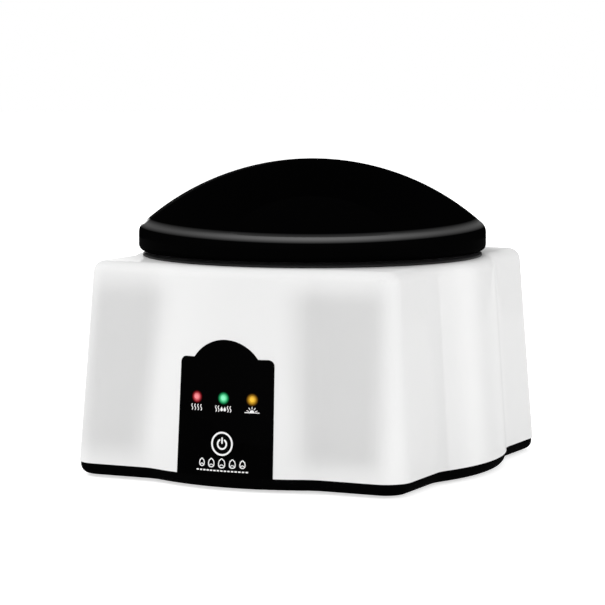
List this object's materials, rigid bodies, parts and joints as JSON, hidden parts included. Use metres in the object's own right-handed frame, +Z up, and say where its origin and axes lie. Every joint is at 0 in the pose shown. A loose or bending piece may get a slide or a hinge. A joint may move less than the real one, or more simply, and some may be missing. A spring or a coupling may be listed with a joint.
{
  "type": "gel polish remover machine",
  "caption": "Free-standing nail steamer with a lobed white housing, a domed lift-off lid over a heated cup and finger plate, a front panel with a power key and lamps, and a corded plug.",
  "frame": {"origin": "floor level, at the middle of the housing's footprint", "axes": "+Z up; -Y out of the front panel; +X to the right as seen from the front"},
  "size_m": [0.2086, 0.3441, 0.157],
  "materials": {
    "white_gloss": "injection-moulded white ABS, high gloss",
    "black_gloss": "injection-moulded black ABS, high gloss",
    "black_satin": "black plastic, fine texture",
    "dark_grey": "dark grey heat-resistant plastic, satin",
    "liner_grey": "grey heat-resistant plastic, satin",
    "red_lens": "clear tinted lens",
    "green_lens": "clear tinted lens",
    "amber_lens": "clear tinted lens",
    "chip_clear": "clear resin",
    "board_green": "lacquered glass-fibre board",
    "silicone": "grey silicone",
    "foot_rubber": "black rubber",
    "cord_rubber": "black flexible PVC",
    "pressed_aluminium": "pressed and anodised",
    "stainless": "brushed stainless steel",
    "zinc_steel": "zinc-plated steel",
    "heater_ceramic": "ceramic-coated heating disc",
    "core_steel": "varnished laminations",
    "relay_blue": "moulded case",
    "terminal_green": "moulded nylon",
    "component_yellow": "moulded component cases",
    "socket_cream": "moulded nylon",
    "ribbon_grey": "flat cable",
    "lead_brown": "insulated wire",
    "lead_white": "glass-fibre sleeved wire",
    "pin_chrome": "nickel plate"
  },
  "bodies": {
    "base": {"housing": "white_gloss", "base_tray": "black_gloss", "feet": "foot_rubber", "closing_screws": "zinc_steel", "control_panel": "black_gloss", "switch_body": "black_satin", "red_lamp": "red_lens", "green_lamp": "green_lens", "amber_lamp": "amber_lens", "lamp_chips": "chip_clear", "control_board": "board_green", "control_board_screws": "zinc_steel", "collar": "black_gloss", "bowl_gasket": "silicone", "heating_bowl": "pressed_aluminium", "bowl_screws": "zinc_steel", "thermal_pad": "silicone", "heater": "heater_ceramic", "heater_clamp": "zinc_steel", "clamp_spacers": "zinc_steel", "heater_studs": "zinc_steel", "heat_shield": "pressed_aluminium", "thermostat": "black_satin", "thermal_cutout": "stainless", "power_board": "board_green", "power_board_screws": "zinc_steel", "transformer": "core_steel", "relay": "relay_blue", "terminal_block": "terminal_green", "board_parts": "component_yellow", "ribbon_sockets": "socket_cream", "control_ribbon": "ribbon_grey", "mains_leads": "lead_brown", "heater_leads": "lead_white", "cord_gland": "cord_rubber", "inner_flex": "cord_rubber", "cord_clamp": "black_satin", "clamp_screws": "zinc_steel", "cord_lead": "cord_rubber", "cord_coil": "cord_rubber", "cord_tail": "cord_rubber", "cord_tie": "cord_rubber", "plug_body": "black_satin", "plug_pins": "pin_chrome", "plug_earth_contacts": "pin_chrome", "plug_boot": "cord_rubber"},
    "lid": {"lid_shell": "black_gloss", "lid_liner": "liner_grey", "lid_seal": "silicone", "lid_screws": "zinc_steel"},
    "plate": {"finger_plate": "dark_grey", "finger_sleeves": "silicone"},
    "cup": {"remover_cup": "stainless"},
    "key": {"power_key": "black_gloss", "switch_plunger": "dark_grey"}
  },
  "joints": [
    {"name": "lid_lift", "type": "slide", "parent": "base", "child": "lid", "axis": [0, 0, 1], "range_m": [0, 0.16]},
    {"name": "plate_lift", "type": "slide", "parent": "base", "child": "plate", "axis": [0, 0, 1], "range_m": [0, 0.08]},
    {"name": "cup_lift", "type": "slide", "parent": "base", "child": "cup", "axis": [0, 0, 1], "range_m": [0, 0.048]},
    {"name": "key_press", "type": "slide", "parent": "base", "child": "key", "axis": [0, 0.9976, -0.0688], "range_m": [0, 0.0008], "stiffness_N_per_m": 400}
  ],
  "couplings": [
    {"joint": "plate_lift", "follows": "lid_lift", "ratio": 0.5},
    {"joint": "cup_lift", "follows": "lid_lift", "ratio": 0.3}
  ]
}
